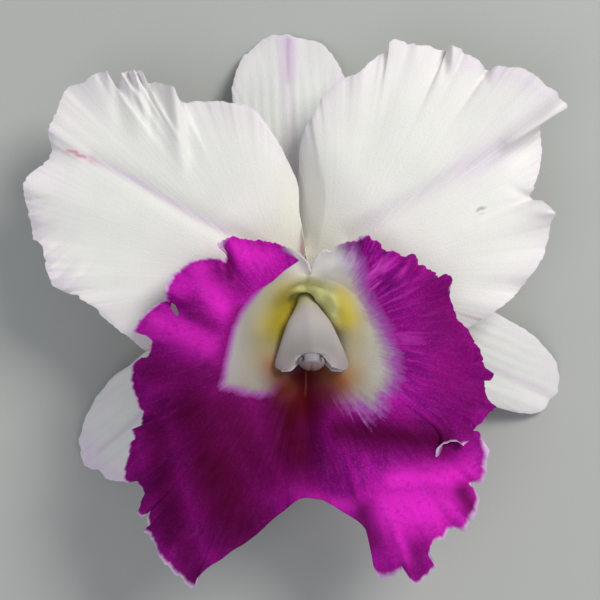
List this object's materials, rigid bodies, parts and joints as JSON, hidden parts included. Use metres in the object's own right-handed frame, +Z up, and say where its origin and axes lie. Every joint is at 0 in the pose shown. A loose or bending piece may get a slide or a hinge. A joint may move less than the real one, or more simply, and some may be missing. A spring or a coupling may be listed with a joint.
{
  "type": "cattleya orchid bloom",
  "caption": "Picked cattleya orchid bloom lying face up: white sepals and waved petals, frilled purple lip rolled round a hooded column, short cut stalk.",
  "frame": {"origin": "on the surface that the bloom lies on, under the middle of its outline", "axes": "+Z up out of the flower's face; +Y towards the tip of the upper sepal; +X to the right as seen from above with the upper sepal at the top"},
  "size_m": [0.1379, 0.1408, 0.0459],
  "materials": {
    "sepal": "white living petal tissue, faintly pink at midrib and tip, softly translucent",
    "petal": "white living petal tissue, faint lavender midrib and margin, softly translucent",
    "lip": "velvety magenta lip tissue, darker veins and centre, white and yellow throat",
    "column": "waxy lilac-white column tissue",
    "anther_cap": "waxy pale cap",
    "pollinia": "waxy yellow pollen masses",
    "stalk": "smooth pale green ovary and stalk, cut end paler"
  },
  "bodies": {
    "root": {"dorsal_sepal": "sepal", "left_sepal": "sepal", "right_sepal": "sepal", "left_petal": "petal", "right_petal": "petal", "lip": "lip", "column": "column", "anther_cap": "anther_cap", "pollinia": "pollinia", "ovary_stem": "stalk"}
  },
  "joints": []
}
